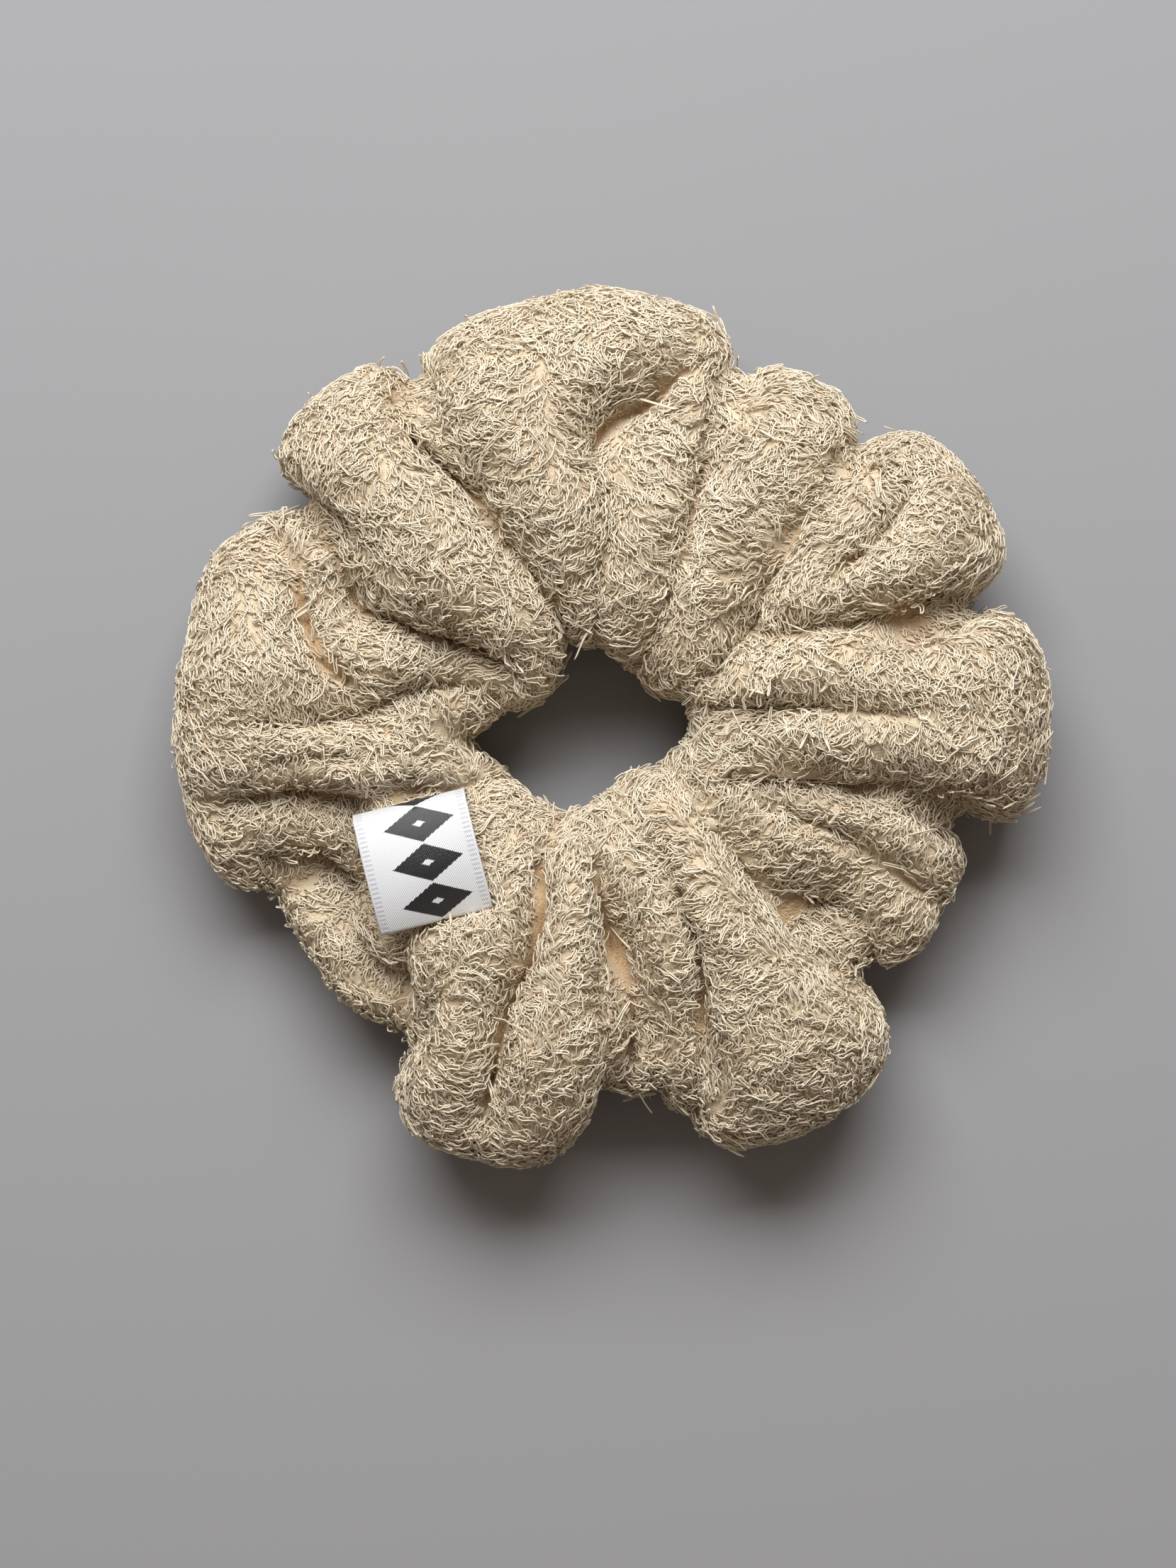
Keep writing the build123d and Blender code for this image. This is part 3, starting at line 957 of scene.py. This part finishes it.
def label_path():
    """The ribbon from its edge, as (along, height): out of the seam, over to the fold, back and down."""
    centre = np.array([LABEL_REACH / 2, LABEL_RISE - LABEL_BEND])
    half = math.degrees(math.asin(LABEL_REACH / 2 / LABEL_BEND))
    apart = LABEL_GAP / 2

    def arc(middle, radius, start, end, count):
        a = np.radians(np.linspace(start, end, count))
        return np.array(middle) + radius * np.stack([np.cos(a), np.sin(a)], axis=1)

    tail = np.linspace(-LABEL_TAIL, TAIL_TOP, 6)
    path = np.concatenate([
        np.stack([np.full(6, -apart), tail], axis=1),
        arc(centre, LABEL_BEND + apart, 90 + half - 3, 90 - half, 24),
        arc((LABEL_REACH, 0), apart, 90 - half - 30, -90 - half + 30, 5),
        arc(centre, LABEL_BEND - apart, 90 - half, 90 + half - 4, 24),
        np.stack([np.full(6, apart), tail[::-1]], axis=1),
    ])
    for _ in range(3):
        before, after = path[:-1], path[1:]
        cut = np.stack([before * 0.75 + after * 0.25, before * 0.25 + after * 0.75], axis=1)
        path = np.concatenate([path[:1], cut.reshape(-1, 2), path[-1:]])
    length = np.concatenate([[0], np.cumsum(np.hypot(*np.diff(path, axis=0).T))])
    at = np.linspace(0, length[-1], int(length[-1] / RIBBON_STEP) + 1)
    return np.stack([np.interp(at, length, path[:, 0]), np.interp(at, length, path[:, 1])], axis=1), at


def make_label(ribbon):
    """One length of ribbon, folded in the middle, with both ends in the seam."""
    root, heading, sideways = label_axes()
    path, at = label_path()
    rows, columns = len(at), int(LABEL_WIDTH / RIBBON_STEP) + 1
    level = np.zeros((rows, columns))
    across = level + np.linspace(-LABEL_WIDTH / 2, LABEL_WIDTH / 2, columns)
    along, height = (level + part[:, None] for part in path.T)
    free = np.clip(along / LABEL_REACH, 0, 1)
    cockle = 0.22 * np.sin(across * 0.42 + along * 0.25) * free
    cockle -= 0.35 * free * (across / (LABEL_WIDTH / 2)) ** 2
    rung = np.abs(np.mod(at / RUNG_PITCH, 1) - 0.5)[:, None] < 0.27
    stitched = RUNG_HEIGHT * rung * (np.abs(np.abs(across) - SELVEDGE) < SELVEDGE_WIDTH / 2)
    points = root + along[..., None] * heading + across[..., None] * sideways
    points[..., 2] += height + cockle + stitched * np.sign(height + 1.0)
    label = new_sheet("label_ribbon", ribbon, points, False)
    place = np.stack([across, level + at[:, None] - LABEL_TAIL, level], axis=2)
    mark(label, "ribbon", place.reshape(-1, 3))
    thicken(label, LABEL_PLY, 0, True)
    return label, at[-1], root, heading


# The elastic and the threads

ELASTIC_RADIUS = 30.5   # to the middle of its thickness
ELASTIC_PLY = 1.0
ELASTIC_WOVEN = 0.8     # its thickness without the ribs
ELASTIC_LOW = 7.5
ELASTIC_HIGH = 14.5
ELASTIC_RIBS = 216
ELASTIC_COLUMNS = 25    # points over its width
RIB_HEIGHT = 0.1
LAP_STEP = 0.12         # the outer end steps out over this angle, in radians
LAP_MIDDLE = 20.0       # where its ends overlap
LAP_HALF = 12.0
THREAD = 0.2            # radius of the sewing thread
THREAD_STEP = 0.25      # spacing of its mesh
THREAD_SIDES = 8
STITCH = 2.6
STITCH_DIP = 0.35       # how far the thread goes in and out of the cloth
SEAM_DEPTH = 1.5        # how far inside the cloth the seams run
CLOSING_SEAM = 198.7    # angle of the crosswise seam
LONG_SEAM = 196.0       # how far round the tube the long seam lies


def make_elastic(webbing):
    """A ribbed woven band: one strip that goes once round and laps over its own start."""
    lap = 2 * math.radians(LAP_HALF)
    low = np.radians(LAP_MIDDLE - LAP_HALF)
    high = low + 2 * math.pi + lap
    angle = np.linspace(low, high, ELASTIC_RIBS * 4 + 1)[:, None]
    level = np.linspace(0, 1, ELASTIC_COLUMNS)[None, :]
    step_out = np.clip((angle - (high - lap - LAP_STEP)) / LAP_STEP, 0, 1)
    step_out = step_out * step_out * (3 - 2 * step_out)
    rib = 0.5 + 0.5 * np.cos(angle * ELASTIC_RIBS * 360 / (360 + 2 * LAP_HALF)) + 0 * level
    radius = ELASTIC_RADIUS + (ELASTIC_PLY + 0.1) * step_out + RIB_HEIGHT * rib
    height = ELASTIC_LOW + (ELASTIC_HIGH - ELASTIC_LOW) * level + 0 * angle
    points = np.stack([radius * np.cos(angle), radius * np.sin(angle), height], axis=-1)
    band = new_sheet("elastic_webbing", webbing, points, False)
    mark(band, "rib", rib.ravel())
    thicken(band, ELASTIC_WOVEN, 0, True)
    return band


def thread_along(name, path, normal, thread):
    """A sewn thread on a closed path: in and out of the cloth once per stitch, with its two plies wound."""
    step = np.linalg.norm(np.roll(path, -1, 0) - path, axis=1)
    length = np.concatenate([[0], np.cumsum(step)])
    count = int(length[-1] / THREAD_STEP)
    at = np.arange(count) * length[-1] / count

    def along(field):
        closed = np.concatenate([field, field[:1]])
        return np.stack([np.interp(at, length, closed[:, axis]) for axis in range(3)], axis=1)

    out = unit(along(normal))
    beat = 2 * math.pi * round(length[-1] / STITCH) * at / length[-1]
    middle = along(path) + out * (STITCH_DIP * np.cos(beat))[:, None]
    tangent = unit(np.roll(middle, -1, 0) - np.roll(middle, 1, 0))
    side = unit(np.cross(tangent, out))
    top = np.cross(side, tangent)
    turn = np.arange(THREAD_SIDES) * 2 * math.pi / THREAD_SIDES
    plies = 1 + 0.22 * np.cos(2 * turn[None, :] + 8 * beat[:, None])
    points = middle[:, None] + THREAD * plies[..., None] * (
        side[:, None] * np.cos(turn)[None, :, None] + top[:, None] * np.sin(turn)[None, :, None]
    )
    return new_mesh(name, thread, points.reshape(-1, 3), grid_faces(count, THREAD_SIDES, True, True))


def make_seams(surface, thread):
    """The long seam on the hole's side of the ring, and the closing seam across the tube."""
    normal = grid_normals(surface)
    inside = surface - normal * SEAM_DEPTH
    column = round(LONG_SEAM / 360 * ACROSS)
    row = round(CLOSING_SEAM / 360 * AROUND)
    long_seam = thread_along("long_seam_stitches", inside[:, column], normal[:, column], thread)
    closing = thread_along("closing_seam_stitches", inside[row], normal[row], thread)
    return long_seam, closing


# Camera, light and floor

FLOOR = 900             # half of its side


def make_stage():
    """A plain sheet of grey-white paper under the ring."""
    paper = material("paper", (0.30, 0.30, 0.312), 0.85, Specular_IOR_Level=0.2)
    corners = [(-FLOOR, -FLOOR, 0), (FLOOR, -FLOOR, 0), (FLOOR, FLOOR, 0), (-FLOOR, FLOOR, 0)]
    new_mesh("floor", paper, corners, [(0, 1, 2, 3)])


def make_light(name, place, target, size, power, colour):
    """An oblong area light that shines from a place to a target, in metres and watts."""
    lamp = bpy.data.lights.new(name, "AREA")
    lamp.shape = "RECTANGLE"
    lamp.size, lamp.size_y = size
    lamp.energy = power
    lamp.color = colour
    holder = bpy.data.objects.new(name, lamp)
    bpy.context.scene.collection.objects.link(holder)
    holder.location = place
    holder.rotation_euler = (Vector(target) - Vector(place)).to_track_quat("-Z", "Y").to_euler()


def make_world(strength, colour):
    """Even light from all round."""
    world = bpy.data.worlds.new("room")
    world.use_nodes = True
    background = world.node_tree.nodes["Background"]
    background.inputs["Color"].default_value = (*colour, 1)
    background.inputs["Strength"].default_value = strength
    bpy.context.scene.world = world


# The camera, in metres
VIEW_CENTRE = (-0.0038, -0.0065)        # what it looks straight down on
VIEW_HEIGHT = 0.42
FRAME_WIDTH = 0.1555    # how wide the picture is, at the height of the folds
FOCUS_HEIGHT = 0.016
SENSOR_WIDTH = 36       # in millimetres


def make_camera():
    """A camera that looks straight down."""
    camera = bpy.data.cameras.new("camera")
    holder = bpy.data.objects.new("camera", camera)
    bpy.context.scene.collection.objects.link(holder)
    holder.location = (*VIEW_CENTRE, VIEW_HEIGHT)
    camera.sensor_fit = "HORIZONTAL"
    camera.sensor_width = SENSOR_WIDTH
    camera.lens = SENSOR_WIDTH * (VIEW_HEIGHT - FOCUS_HEIGHT) / FRAME_WIDTH
    camera.clip_start = 0.01
    camera.dof.use_dof = False
    bpy.context.scene.camera = holder


make_camera()
make_stage()
make_world(0.22, (1.0, 0.84, 0.70))
make_light("window", (-0.06, 0.55, 0.63), (0, 0, 0.01), (0.80, 0.42), 12.0, (0.98, 0.99, 1.0))
bpy.context.scene.view_settings.view_transform = "Standard"

surface, near = folded_surface()
cover = make_cover(surface, near, ground_material())
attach(cover, "cover")
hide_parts("terry_cover")
pile = make_pile(surface, near, yarn_material())
for piece in pile:
    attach(piece, "cover")

thread = thread_material()
long_seam, closing_seam = make_seams(surface, thread)
for piece, node in ((long_seam, "long_seam_thread"), (closing_seam, "closing_seam_thread")):
    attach(piece, "cover")
    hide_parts(node)
join_materials = frame["nodes"]["elastic_join_thread"].data.materials
join_materials.clear()
join_materials.append(thread)

band = make_elastic(elastic_material())
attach(band, "elastic")
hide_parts("elastic_band")

label, ribbon_length, label_root, label_heading = make_label(ribbon_material())
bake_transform(label)
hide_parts("label_flap", "label_sewn_ends")
